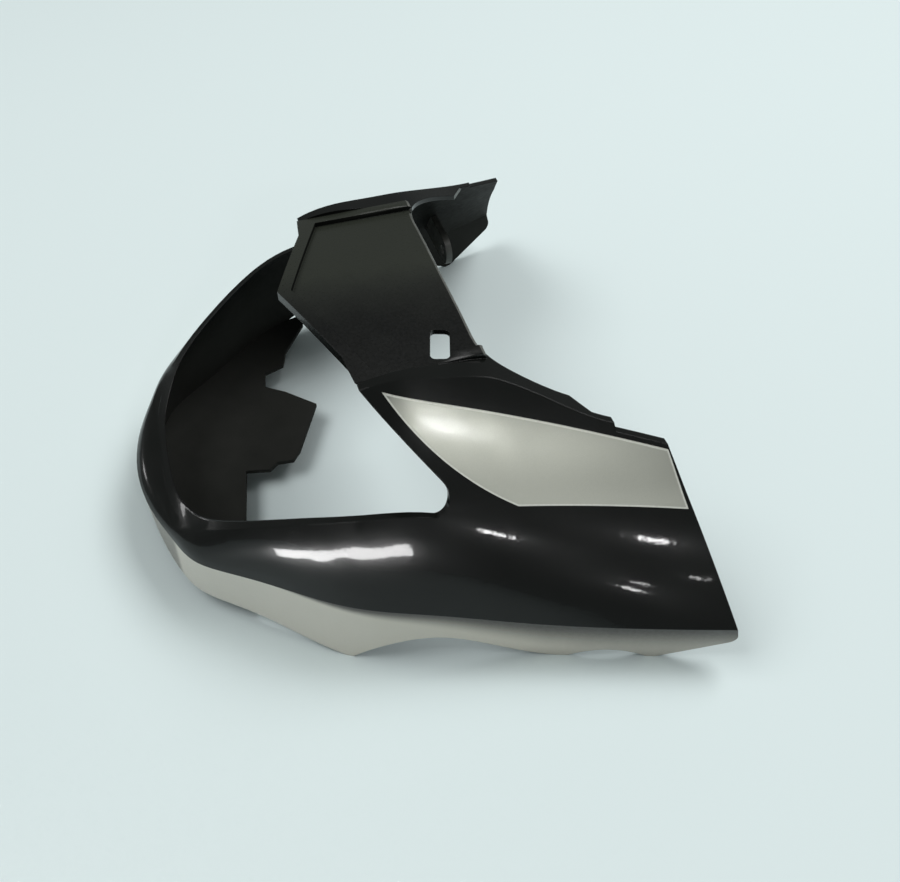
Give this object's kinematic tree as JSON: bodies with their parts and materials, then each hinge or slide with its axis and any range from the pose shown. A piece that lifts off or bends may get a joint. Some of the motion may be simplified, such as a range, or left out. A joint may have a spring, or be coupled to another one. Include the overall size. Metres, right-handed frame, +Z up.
{
  "type": "motorbike headlight visor",
  "caption": "Gloss black moulded headlight visor with a wrap-round chin, flared side panels, silver side films and a sunken windscreen seat.",
  "frame": {"origin": "middle of the footprint, at the level of the lower edge that the visor lies on", "axes": "+X to the rider's left, +Y rearward, +Z up as the visor lies on its lower edge"},
  "size_m": [0.3602, 0.261, 0.1345],
  "materials": {
    "shell": "gloss",
    "film": "satin silver"
  },
  "bodies": {
    "root": {"visor_shell": "shell", "left_decal": "film", "right_decal": "film"}
  },
  "joints": []
}
